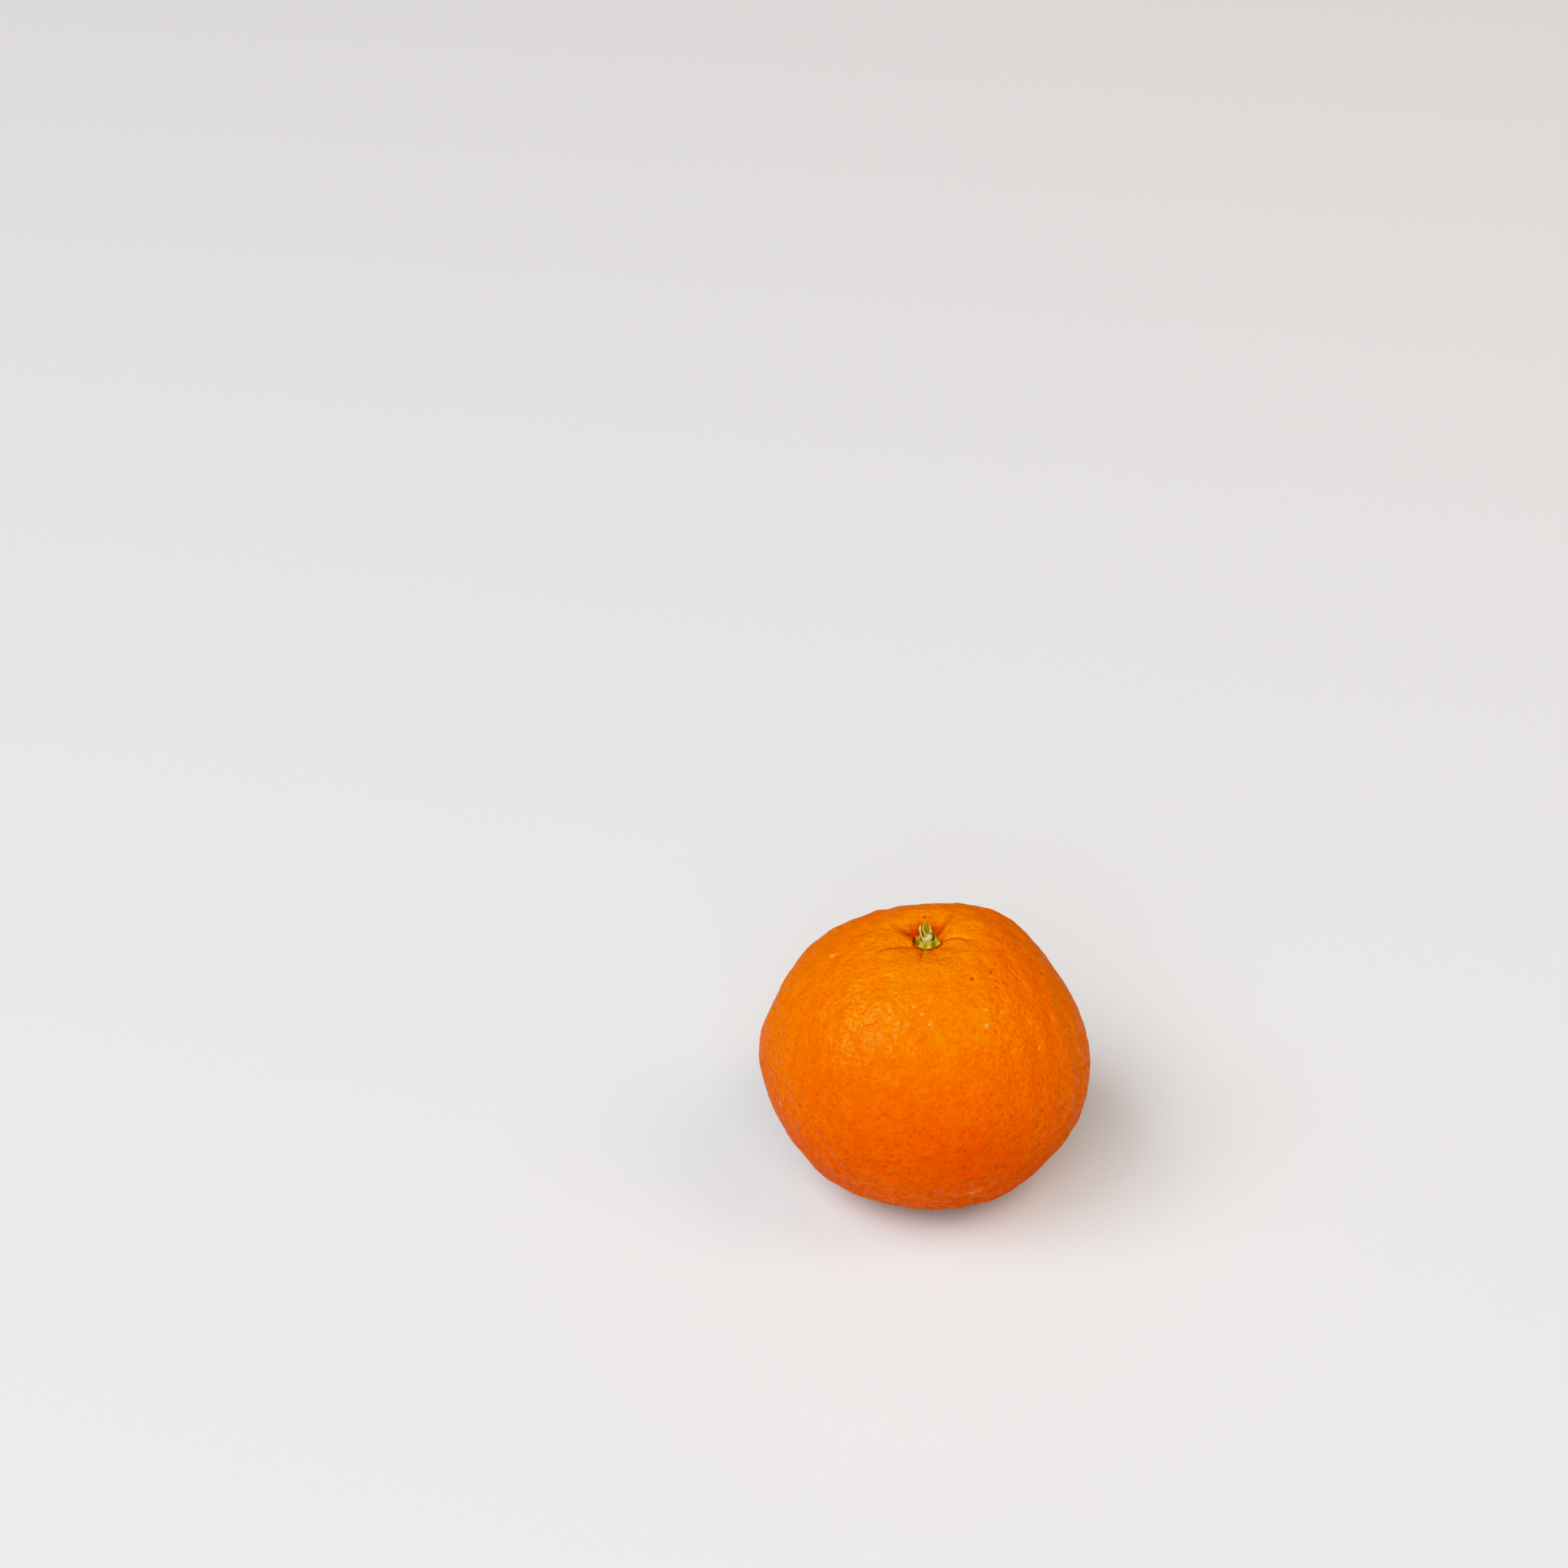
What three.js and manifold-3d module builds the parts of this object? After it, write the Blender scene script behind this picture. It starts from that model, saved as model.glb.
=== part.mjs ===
// A mandarin as it is picked: one loose-skinned fruit, with the green calyx and the broken stem that stay on
// it. Millimetres. +Z runs up the fruit's own axis, from the blossom end to the stem, and the origin is the
// middle of the small flat that the fruit rests on. -Y is the side that its best face looks to.

import * as THREE from "three";
import { mergeVertices } from "three/addons/utils/BufferGeometryUtils.js";
import Module from "manifold-3d";

// ---- Driving dimensions ----

const FRUIT_WIDTH = 63; // across the equator, before the swells
const FRUIT_HEIGHT = 57.4; // pole to pole, before the stem hollow and the rest flat
const REST_FLAT_R = 6; // the flat that it stands on
const GAP = 0.3; // clear space between pieces that have grown together

const PEEL_DETAIL = 20; // how often each edge of the icosahedron that the peel starts from is cut
const PEEL_CROWDING = 0.58; // under 1 draws the peel's points together round the stem

const HOLLOW_DEPTH = 3; // the dip that the stem sits in
const HOLLOW_REACH = 7; // how far from the axis it spreads

const PEBBLE_HEIGHT = 0.05; // the uneven, pebbled skin: the height of each of its waves
const PEBBLE_LENGTH = 5.2; // from one pebble to the next

// Broad swells of the flesh under the skin. turn goes round the fruit from +X, tilt goes down from the stem
// and spread is how wide it is (all in degrees). out is how far it stands out, or how deep a dent if under 0.
const SWELLS = [
  { turn: 47, tilt: 44, spread: 24, out: 1 },
  { turn: 48, tilt: 16, spread: 10, out: 0.5 },
  { turn: 20, tilt: 63, spread: 18, out: -0.7 },
  { turn: -9, tilt: 103, spread: 28, out: 0.8 },
  { turn: -42, tilt: 134, spread: 20, out: 0.6 },
  { turn: -60, tilt: 148, spread: 14, out: -0.25 },
  { turn: -110, tilt: 143, spread: 15, out: -0.6 },
  { turn: -162, tilt: 114, spread: 24, out: -0.8 },
  { turn: 179, tilt: 88, spread: 15, out: 0.75 },
  { turn: 164, tilt: 72, spread: 18, out: -0.65 },
  { turn: 110, tilt: 38, spread: 22, out: -0.5 },
  { turn: -68, tilt: 58, spread: 22, out: 0.35 },
  { turn: -120, tilt: 72, spread: 20, out: 0.3 },
  { turn: 95, tilt: 85, spread: 26, out: 0.7 },
  { turn: 135, tilt: 112, spread: 24, out: -0.5 },
  { turn: 60, tilt: 115, spread: 22, out: -0.4 },
  { turn: 52, tilt: 42, spread: 11, out: 0.35 },
  { turn: -28, tilt: 124, spread: 10, out: -0.4 },
  { turn: 153, tilt: 57, spread: 12, out: 0.3 },
];

// Furrows that run out from the stem. turn is where one starts, bend is how far it has turned at its end
// (degrees), from and to are distances from the axis, and width and depth are its own.
const FURROWS = [
  { turn: 19, bend: -25, from: 3, to: 11, width: 0.9, depth: 0.75 },
  { turn: 34, bend: 8, from: 3, to: 8, width: 0.9, depth: 0.5 },
  { turn: 57, bend: 4, from: 2.8, to: 14, width: 1.9, depth: 0.85 },
  { turn: 98, bend: 3, from: 2.8, to: 10, width: 1.3, depth: 0.5 },
  { turn: 140, bend: -5, from: 2.8, to: 11, width: 1.4, depth: 0.45 },
  { turn: 196, bend: 17, from: 2.8, to: 14, width: 1.1, depth: 0.75 },
  { turn: 222, bend: 6, from: 3.4, to: 9, width: 1.3, depth: 0.25 },
  { turn: 257, bend: 7, from: 3, to: 10.5, width: 0.8, depth: 0.5 },
  { turn: 291, bend: -5, from: 3.2, to: 10, width: 1.1, depth: 0.3 },
  { turn: 333, bend: -4, from: 3.4, to: 11, width: 1.4, depth: 0.3 },
];
const FURROW_RUN_IN = 1.2; // a furrow starts this much before from, and is at full depth this much after it
const FURROW_FADE = 0.35; // the share of its length after which it grows shallower

const STEM_ASIDE = 0.25; // the stem and its calyx stand this far from the fruit's axis, towards +X

// The calyx: a thick collar round the stem, with five short lobes that lie on the peel.
const CALYX_HOLE_R = 1.35;
const CALYX_CREST_R = 1.66;
const CALYX_VALLEY_R = 2.05; // its edge between two lobes
const CALYX_CREST_RISE = 1.25; // the collar's height over its underside
const CALYX_EDGE_RISE = 0.62; // the lobes' thickness
const CALYX_STEPS = 60; // points round it
const LOBE_HALF_WIDTH = 30; // degrees
const LOBES = [
  { turn: -16, reach: 2.6 },
  { turn: -78, reach: 2.8 },
  { turn: -129, reach: 2.75 },
  { turn: 150, reach: 2.55 },
  { turn: 60, reach: 2.65 },
];

// The stem: a short broken core, and a strip of bark left standing behind it.
const CORE_R = 0.92;
const CORE_RISE = 1.9;
const CORE_ROUGHNESS = 0.13; // how uneven the break is
const CORE_SLANT = 0.35; // how far the break rises for each millimetre towards +X
const CORE_STEPS = 24; // points round it
const STRIP_THICKNESS = 0.62;
const STRIP_OFFSET = 0.34; // behind the axis
const STRIP_LEAN = 7; // degrees, backwards
// The strip's torn outline, from its left foot round the top to its right foot: across, and up from the foot.
const STRIP_OUTLINE = [
  [-0.72, 0.5],
  [-1.0, 1.7],
  [-1.52, 3.15],
  [-1.33, 3.42],
  [-1.1, 3.1],
  [-0.8, 1.6],
  [-0.68, 1.6],
  [-0.95, 2.85],
  [-0.65, 3.65],
  [-0.38, 4.0],
  [-0.17, 3.4],
  [0.02, 3.0],
  [0.26, 3.4],
  [0.7, 2.5],
  [0.8, 1.4],
  [0.7, 0.5],
];

// ---- Helpers ----

const { degToRad: rad, smoothstep, clamp, lerp } = THREE.MathUtils;
const bell = (x, width) => Math.exp(-((x / width) ** 2));
const turnBetween = (a, b) => Math.atan2(Math.sin(a - b), Math.cos(a - b));

// A way out of the fruit's middle, as a unit vector.
const toward = (turn, tilt) =>
  new THREE.Vector3(Math.sin(tilt) * Math.cos(turn), Math.sin(tilt) * Math.sin(turn), Math.cos(tilt));

// The turn of each of steps points spread evenly round the axis.
const turnsRound = (steps) => Array.from({ length: steps }, (_, i) => (2 * Math.PI * i) / steps);

const wasm = await Module();
wasm.setup();

function withMergedPoints(geometry) {
  geometry.deleteAttribute("normal");
  geometry.deleteAttribute("uv");
  return mergeVertices(geometry, 1e-5);
}

function toSolid(geometry) {
  const merged = withMergedPoints(geometry);
  return new wasm.Manifold(
    new wasm.Mesh({
      numProp: 3,
      vertProperties: merged.attributes.position.array,
      triVerts: new Uint32Array(merged.index.array),
    }),
  );
}

function toGeometry(solid) {
  const mesh = solid.getMesh();
  const geometry = new THREE.BufferGeometry();
  geometry.setAttribute("position", new THREE.BufferAttribute(mesh.vertProperties, 3));
  geometry.setIndex(new THREE.BufferAttribute(mesh.triVerts, 1));
  return geometry;
}

// A skin over rings of points, each ring anticlockwise seen from above and outside or above the one before.
// It is closed by the points ends = [first, last], or without them by joining the last ring to the first.
function skin(rings, ends) {
  const around = rings[0].length;
  const last = (rings.length - 1) * around;
  const next = (i) => (i + 1) % around;
  const triangles = [];
  const band = (low, high) => {
    for (let i = 0; i < around; i++) {
      triangles.push(low + i, low + next(i), high + next(i));
      triangles.push(low + i, high + next(i), high + i);
    }
  };
  for (let low = 0; low < last; low += around) band(low, low + around);
  if (ends) {
    const first = rings.length * around;
    for (let i = 0; i < around; i++) {
      triangles.push(first, next(i), i);
      triangles.push(first + 1, last + i, last + next(i));
    }
  } else {
    band(last, 0);
  }
  const geometry = new THREE.BufferGeometry().setFromPoints([...rings.flat(), ...(ends ?? [])]);
  geometry.setIndex(triangles);
  return geometry;
}

// ---- The peel's surface ----

// The fruit's middle stands so high that the rest flat cuts off a cap of radius REST_FLAT_R.
const MIDDLE_HEIGHT = (FRUIT_HEIGHT / 2) * Math.sqrt(1 - ((2 * REST_FLAT_R) / FRUIT_WIDTH) ** 2);
const MIDDLE = new THREE.Vector3(0, 0, MIDDLE_HEIGHT);

const swells = SWELLS.map(({ turn, tilt, spread, out }) => ({
  way: toward(rad(turn), rad(tilt)),
  spread: rad(spread),
  out,
}));

function furrowDepth(turn, fromAxis) {
  let depth = 0;
  for (const furrow of FURROWS) {
    const along = (fromAxis - furrow.from) / (furrow.to - furrow.from);
    const middleLine = rad(furrow.turn + furrow.bend * clamp(along, 0, 1));
    const aside = fromAxis * turnBetween(turn, middleLine);
    const begun = smoothstep(fromAxis, furrow.from - FURROW_RUN_IN, furrow.from + FURROW_RUN_IN);
    const left = 1 - smoothstep(along, FURROW_FADE, 1);
    depth += furrow.depth * begun * left * bell(aside, furrow.width);
  }
  return depth;
}

// Four crossing waves, which never line up, make the pebbled skin.
function pebble({ x, y, z }) {
  const wave = (2 * Math.PI) / PEBBLE_LENGTH;
  return (
    PEBBLE_HEIGHT *
    (Math.sin(wave * (x + 0.35 * y)) +
      Math.sin(wave * (y - 0.4 * z) + 1) +
      Math.sin(wave * (z + 0.3 * x) + 2) +
      Math.sin(0.62 * wave * (x - y + z) + 4))
  );
}

// How far the peel is from the fruit's middle, in the direction way.
function peelRadius(way) {
  const across = Math.hypot(way.x, way.y);
  const plain = 1 / Math.hypot((2 * across) / FRUIT_WIDTH, (2 * way.z) / FRUIT_HEIGHT);
  let radius = plain + pebble(way.clone().multiplyScalar(plain));
  for (const swell of swells) radius += swell.out * bell(way.angleTo(swell.way), swell.spread);
  if (way.z > 0) {
    const fromAxis = plain * across;
    radius -= HOLLOW_DEPTH * bell(fromAxis, HOLLOW_REACH);
    radius -= furrowDepth(Math.atan2(way.y, way.x), fromAxis);
  }
  return radius;
}

const overPeel = (way, lift) => way.clone().setLength(peelRadius(way) + lift).add(MIDDLE);

// The point that is lift above the peel, over the place x, y near the stem.
function nearStem(x, y, lift) {
  const turn = Math.atan2(y, x);
  const fromAxis = Math.hypot(x, y);
  let tilt = fromAxis / MIDDLE_HEIGHT;
  for (let i = 0; i < 6; i++) {
    tilt = Math.asin(fromAxis / (peelRadius(toward(turn, tilt)) + lift));
  }
  return overPeel(toward(turn, tilt), lift);
}

// ---- The pieces ----

function fruitGeometry() {
  const geometry = withMergedPoints(new THREE.IcosahedronGeometry(1, PEEL_DETAIL));
  const position = geometry.attributes.position;
  const way = new THREE.Vector3();
  for (let i = 0; i < position.count; i++) {
    way.fromBufferAttribute(position, i).normalize();
    const halfTilt = Math.acos(clamp(way.z, -1, 1)) / 2;
    const tilt = 2 * Math.atan2(PEEL_CROWDING * Math.sin(halfTilt), Math.cos(halfTilt));
    const point = overPeel(toward(Math.atan2(way.y, way.x), tilt), 0);
    position.setXYZ(i, point.x, point.y, Math.max(0, point.z));
  }
  return geometry;
}

function calyxEdge(turn) {
  let edge = CALYX_VALLEY_R;
  for (const lobe of LOBES) {
    const aside = Math.abs(turnBetween(turn, rad(lobe.turn))) / rad(LOBE_HALF_WIDTH);
    edge += (lobe.reach - CALYX_VALLEY_R) * Math.max(0, 1 - aside) ** 0.8;
  }
  return edge;
}

function calyxGeometry() {
  const ring = (reach, rise) =>
    turnsRound(CALYX_STEPS).map((turn) => {
      const x = STEM_ASIDE + reach(turn) * Math.cos(turn);
      return nearStem(x, reach(turn) * Math.sin(turn), GAP + rise);
    });
  const hole = () => CALYX_HOLE_R;
  const crest = () => CALYX_CREST_R;
  const outward = (share) => (turn) => lerp(CALYX_CREST_R, calyxEdge(turn), share);
  return skin([
    ring(hole, 0),
    ring(outward(0.5), 0),
    ring(calyxEdge, 0),
    ring(calyxEdge, 0.75 * CALYX_EDGE_RISE),
    ring(outward(0.8), CALYX_EDGE_RISE),
    ring(outward(0.35), lerp(CALYX_EDGE_RISE, CALYX_CREST_RISE, 0.55)),
    ring(crest, CALYX_CREST_RISE),
    ring(hole, 0.85 * CALYX_CREST_RISE),
  ]);
}

function coreGeometry(foot) {
  const ring = (share, rise, roughness) =>
    turnsRound(CORE_STEPS).map((turn) => {
      const reach = share * CORE_R * (1 + 0.06 * Math.sin(3 * turn + 1) + 0.04 * Math.sin(5 * turn));
      const x = reach * Math.cos(turn);
      const waves = roughness * (Math.sin(2 * turn + 0.6) + 0.6 * Math.sin(5 * turn + 2));
      const slant = roughness > 0 ? CORE_SLANT * (x - CORE_R) : 0;
      return new THREE.Vector3(x, reach * Math.sin(turn), foot + rise + waves + slant);
    });
  const rings = [
    ring(1, 0, 0),
    ring(0.97, 0.5 * CORE_RISE, 0),
    ring(0.93, 0.85 * CORE_RISE, 0.6 * CORE_ROUGHNESS),
    ring(0.72, CORE_RISE, CORE_ROUGHNESS),
    ring(0.36, 0.93 * CORE_RISE, 0.7 * CORE_ROUGHNESS),
  ];
  const top = foot + CORE_RISE - CORE_SLANT * CORE_R;
  return skin(rings, [new THREE.Vector3(0, 0, foot), new THREE.Vector3(0, 0, top)]);
}

function stripGeometry(foot) {
  const outline = new THREE.Shape(STRIP_OUTLINE.map(([across, up]) => new THREE.Vector2(across, up)));
  return new THREE.ExtrudeGeometry(outline, { depth: STRIP_THICKNESS, bevelEnabled: false })
    .translate(0, 0, -STRIP_THICKNESS / 2)
    .rotateX(Math.PI / 2 - rad(STRIP_LEAN))
    .translate(0, STRIP_OFFSET, foot);
}

function stemGeometry() {
  const foot = overPeel(toward(0, 0), GAP).z;
  const stem = toSolid(coreGeometry(foot)).add(toSolid(stripGeometry(foot)));
  return toGeometry(stem).translate(STEM_ASIDE, 0, 0);
}

// ---- The mandarin ----

function piece(name, geometry, color, roughness) {
  geometry.computeVertexNormals();
  const mesh = new THREE.Mesh(geometry, new THREE.MeshStandardMaterial({ color, roughness, metalness: 0 }));
  mesh.name = name;
  return mesh;
}

const mandarin = new THREE.Group();
mandarin.name = "mandarin";
mandarin.add(
  piece("fruit", fruitGeometry(), 0xee7208, 0.42),
  piece("calyx", calyxGeometry(), 0x9a9a2c, 0.6),
  piece("stem_stub", stemGeometry(), 0xcfc98c, 0.8),
);

export default mandarin;
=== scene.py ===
"""Dresses a mandarin: its pitted peel, green calyx and broken stem, and a small studio to see them in."""

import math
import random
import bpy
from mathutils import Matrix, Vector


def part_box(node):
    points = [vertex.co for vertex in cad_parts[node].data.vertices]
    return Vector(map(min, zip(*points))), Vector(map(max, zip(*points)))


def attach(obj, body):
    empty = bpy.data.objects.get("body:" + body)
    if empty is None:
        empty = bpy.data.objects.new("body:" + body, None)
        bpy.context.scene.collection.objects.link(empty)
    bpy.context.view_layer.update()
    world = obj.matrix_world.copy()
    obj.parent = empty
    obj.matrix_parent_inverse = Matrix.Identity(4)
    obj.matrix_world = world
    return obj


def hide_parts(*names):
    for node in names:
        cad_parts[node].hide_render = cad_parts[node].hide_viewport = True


bl_info = {
    "name": "Mandarin",
    "version": (1, 0, 0),
    "blender": (4, 5, 0),
    "location": "3D View > Sidebar > Mandarin",
    "description": "Makes a mandarin's pitted peel, its calyx and its broken stem, and lights them",
    "category": "Add Mesh",
}

from functools import reduce

import bmesh
import bpy
from bpy.props import FloatProperty, FloatVectorProperty, IntProperty, PointerProperty
from mathutils import Vector
from mathutils.noise import noise as noise_at

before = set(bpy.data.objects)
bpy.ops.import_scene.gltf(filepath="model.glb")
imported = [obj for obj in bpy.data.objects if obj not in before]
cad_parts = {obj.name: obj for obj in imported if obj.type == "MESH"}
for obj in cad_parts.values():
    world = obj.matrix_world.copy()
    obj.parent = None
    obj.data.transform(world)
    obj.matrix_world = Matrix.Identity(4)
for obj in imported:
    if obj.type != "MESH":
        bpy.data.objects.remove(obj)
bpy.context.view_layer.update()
STEM_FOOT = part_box("stem_stub")[0].z

MM = 0.001

# The soft lights: how far off they stand (m), and for each the way to it from the fruit and its side (m).
LIGHT_DISTANCE = 4.0
KEY_LIGHT = ((-0.56, -0.32, 0.77), 2.55)
FRONT_LIGHT = ((-0.1, -0.8, 0.58), 3.1)
FILL_LIGHT = ((0.58, -0.17, 0.78), 2.2)

# How far the floor reaches each way from the fruit (m).
FLOOR_REACH = 4.0

# The picture's response to light: the brightest light on its curve, the darkest red, green and blue that it
# tells from black, how soft its shoulder is (a lower number is softer), and how many parts its curve has.
TONE_REACH = 4
TONE_BLACK = (0.02, 0.03, 0.042)
TONE_SHOULDER = 4
TONE_PARTS = 14

# How finely the pieces are made: the squares along each edge of the cube that the peel is swelled from, and
# the points round the calyx, the core, each strip and each hollow fibre.
PEEL_SQUARES = 128
CALYX_STEPS = 150
CORE_STEPS = 72
STRIP_STEPS = 14
HOLLOW_STEPS = 20

# Broad swells of the flesh under the skin: turn round the fruit from +X, tilt down from the stem, spread (all
# in degrees), and how far each stands out (mm, or under 0 for a dent).
SWELLS = (
    (47, 44, 24, 1.0),
    (48, 16, 10, 0.5),
    (20, 63, 18, -0.7),
    (-9, 103, 28, 0.8),
    (-42, 134, 20, 0.6),
    (-60, 148, 14, -0.25),
    (-110, 143, 15, -0.6),
    (-162, 114, 24, -0.8),
    (179, 88, 15, 0.75),
    (164, 72, 18, -0.65),
    (110, 38, 22, -0.5),
    (-68, 58, 22, 0.35),
    (-120, 72, 20, 0.3),
    (95, 85, 26, 0.7),
    (135, 112, 24, -0.5),
    (60, 115, 22, -0.4),
    (52, 42, 11, 0.35),
    (-28, 124, 10, -0.4),
    (153, 57, 12, 0.3),
)

# Furrows that run out from the stem: the turn where one starts and how far it has bent at its end (degrees),
# its start and end from the axis, its width and its depth (mm).
FURROWS = (
    (19, -25, 3, 11, 0.9, 0.75),
    (34, 8, 3, 8, 0.9, 0.5),
    (57, 4, 2.8, 14, 1.9, 0.85),
    (98, 3, 2.8, 10, 1.3, 0.5),
    (140, -5, 2.8, 11, 1.4, 0.45),
    (196, 17, 2.8, 14, 1.1, 0.75),
    (222, 6, 3.4, 9, 1.3, 0.25),
    (257, 7, 3, 10.5, 0.7, 0.5),
    (291, -5, 3.2, 10, 1.1, 0.3),
    (333, -4, 3.4, 11, 1.4, 0.3),
)

# The sharpest lines along the bottoms of furrows, laid out as those are, with the width of the line (mm) and
# then how much painted shade darkens it, which also sets how deep its bump is.
CREASES = (
    (19, -25, 3, 12, 0.18, 0.35),
    (196, 17, 2.8, 14, 0.24, 0.3),
    (257, 7, 2.6, 10.5, 0.16, 0.35),
    (140, -34, 3, 9, 0.22, 0.4),
    (57, 4, 3, 9, 0.3, 0.2),
)

# Dry flecks and small dark marks on the peel: turn and tilt (degrees) and radius (mm).
PALE_FLECKS = (
    (-175, 37, 0.6),
    (-91, 40.5, 0.42),
    (-87, 44, 0.45),
    (-59, 48, 0.55),
    (-47, 45.5, 0.5),
    (-96, 38, 0.3),
    (-56, 42.5, 0.35),
    (-103, 44.5, 0.32),
    (-38, 63, 0.25),
    (-47, 83, 0.25),
    (138, 58, 0.5),
    (72, 80, 0.4),
    (20, 96, 0.45),
    (-150, 92, 0.4),
    (-71.5, 114, 0.45),
    (-69.5, 114.5, 0.55),
    (-67.5, 114, 0.45),
)
DARK_MARKS = (
    (-52.5, 29.5, 0.36),
    (-35, 31, 0.38),
    (-36.5, 34.5, 0.34),
    (-40.5, 37, 0.34),
    (-4, 47, 0.36),
    (0, 34, 0.38),
    (-70.5, 79, 0.2),
    (-130, 62, 0.2),
    (120, 76, 0.3),
    (42, 70, 0.25),
    (94, 16.2, 0.42),
    (0, 180, 1.5),  # the scar at the blossom end
)

# Painted shadow: where the peel is darkest, in the gap against the calyx: turn and tilt (degrees) and radius
# (mm).
GAP_SHADOW_SPOTS = (
    (-107, 5.5, 0.5),
    (-34, 5.5, 0.5),
    (186, 5.0, 0.5),
    (172, 5.05, 0.62),
    (158, 5.5, 0.62),
    (142, 6.3, 0.6),
)

# The calyx's lobes: the turn of each one's middle (degrees) and how far it reaches (mm). Each falls away to
# nothing in LOBE_HALF_WIDTH degrees to either side.
LOBES = ((-16, 2.65), (-78, 2.6), (-129, 2.5), (150, 2.55), (60, 2.65))
LOBE_HALF_WIDTH = 24

# The calyx cut through, from its foot in the hole up over the crest and out to its edge on the peel: how far
# across (-1 at the hole's wall, 0 at the crest, 1 at the edge), the rise over the peel (mm), how worn it is,
# with a painted highlight along its rims and crest, and how much painted shade darkens it.
CALYX_SECTION = (
    (-2.3, -0.3, 0.0, 1.0),
    (-2.2, 0.25, 0.0, 1.0),
    (-1.7, 0.35, 0.0, 0.9),
    (-1.15, 0.55, 0.0, 0.75),
    (-0.94, 0.95, 0.1, 0.5),
    (-0.6, 1.24, 0.4, 0.2),
    (-0.15, 1.38, 0.6, 0.0),
    (0.14, 1.33, 0.3, 0.0),
    (0.3, 1.18, 0.0, 0.0),
    (0.48, 1.0, 0.0, 0.0),
    (0.66, 0.86, 0.0, 0.0),
    (0.83, 0.76, 0.3, 0.0),
    (0.94, 0.64, 0.9, 0.0),
    (1.0, 0.46, 1.0, 0.1),
    (0.98, 0.26, 0.2, 0.6),
    (0.86, 0.1, 0.0, 1.0),
    (0.6, -0.3, 0.0, 1.0),
)

# Strips of torn bark and wood: the tint, the thickness, the height below which painted shade darkens each
# one's front, and the points up the middle of each (across, back, up and width; mm from the foot of the
# stem).
STRIPS = (
    ("bark", 0.16, 3.6, (
        (-0.7, 0.5, 0.3, 0.7),
        (-0.78, 0.5, 1.2, 0.75),
        (-0.85, 0.52, 2.0, 0.72),
        (-0.98, 0.54, 2.7, 0.66),
        (-1.1, 0.56, 3.2, 0.4),
        (-1.12, 0.58, 3.45, 0.16),
    )),
    ("wood", 0.24, 1.0, (
        (-1.0, 0.2, -0.3, 0.36),
        (-1.08, 0.2, 0.4, 0.38),
        (-1.09, 0.22, 0.95, 0.4),
        (-1.2, 0.24, 1.5, 0.36),
        (-1.38, 0.26, 2.3, 0.42),
        (-1.43, 0.28, 3.0, 0.46),
        (-1.38, 0.3, 3.5, 0.26),
    )),
    ("young_bark", 0.28, 0.9, (
        (-0.15, 0.0, 0.5, 0.6),
        (-0.32, 0.02, 1.3, 0.62),
        (-0.58, 0.05, 2.1, 0.58),
        (-0.84, 0.1, 2.75, 0.48),
        (-0.98, 0.14, 3.15, 0.22),
    )),
    ("young_bark", 0.18, 2.2, (
        (-0.55, 0.3, 1.2, 0.34),
        (-0.7, 0.34, 2.3, 0.36),
        (-0.82, 0.38, 3.1, 0.34),
        (-0.86, 0.4, 3.65, 0.14),
    )),
    ("bark", 0.3, 2.4, (
        (0.05, 0.45, 0.4, 0.9),
        (-0.02, 0.5, 1.4, 0.92),
        (-0.12, 0.57, 2.1, 0.92),
        (-0.26, 0.66, 2.95, 0.88),
        (-0.34, 0.73, 3.6, 0.56),
        (-0.38, 0.8, 4.25, 0.08),
    )),
    ("young_bark", 0.24, 2.4, (
        (0.66, 0.3, 0.4, 0.5),
        (0.74, 0.33, 1.2, 0.5),
        (0.7, 0.4, 2.0, 0.5),
        (0.52, 0.46, 2.7, 0.48),
        (0.34, 0.5, 3.3, 0.4),
        (0.22, 0.52, 3.7, 0.16),
    )),
    ("wood", 0.14, 1.6, (
        (0.3, 0.25, 1.4, 0.2),
        (0.34, 0.28, 2.0, 0.2),
        (0.3, 0.3, 2.6, 0.14),
        (0.24, 0.32, 2.9, 0.05),
    )),
)

# How far the core reaches down under the foot of the stem (mm).
CORE_SUNK = 0.3

# The core cut through, from its side up and in over the break: the share of its radius and of its height.
CORE_SECTION = (
    (1.0, 0.0),
    (1.0, 0.4),
    (0.99, 0.75),
    (0.97, 0.9),
    (0.9, 0.98),
    (0.8, 1.0),
    (0.66, 1.0),
    (0.5, 1.0),
    (0.34, 1.0),
    (0.18, 1.0),
)

# A hollow fibre's end cut through, from its foot up the outside, over the rim and down the inside: across and
# out of it (shares of its radius) and how much painted shade darkens it.
HOLLOW_SECTION = (
    (0.8, -1.2, 0.3),
    (1, -0.5, 0),
    (1, 0, 0),
    (0.8, 0.12, 0),
    (0.5, 0.06, 0.5),
    (0.35, -0.5, 1),
)

# Open ends of hollow fibres: the place (across, back and up; mm from the foot of the stem) and the radius.
HOLLOW_ENDS = ((-0.74, -0.45, 0.82, 0.27), (0.62, 0.2, 2.5, 0.22))


# ---- Sizes and colours ----


def size(name, description, default):
    return FloatProperty(
        name=name, description=description, default=default, subtype="DISTANCE", unit="LENGTH"
    )


def share(name, description, default):
    return FloatProperty(name=name, description=description, default=default, min=0, max=1, subtype="FACTOR")


def colour(name, description, default):
    return FloatVectorProperty(
        name=name, description=description, default=(*default, 1), size=4, min=0, max=1, subtype="COLOR"
    )


def lamp_power(name, description, default):
    return FloatProperty(name=name, description=description, default=default, min=0, unit="POWER")


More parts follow.
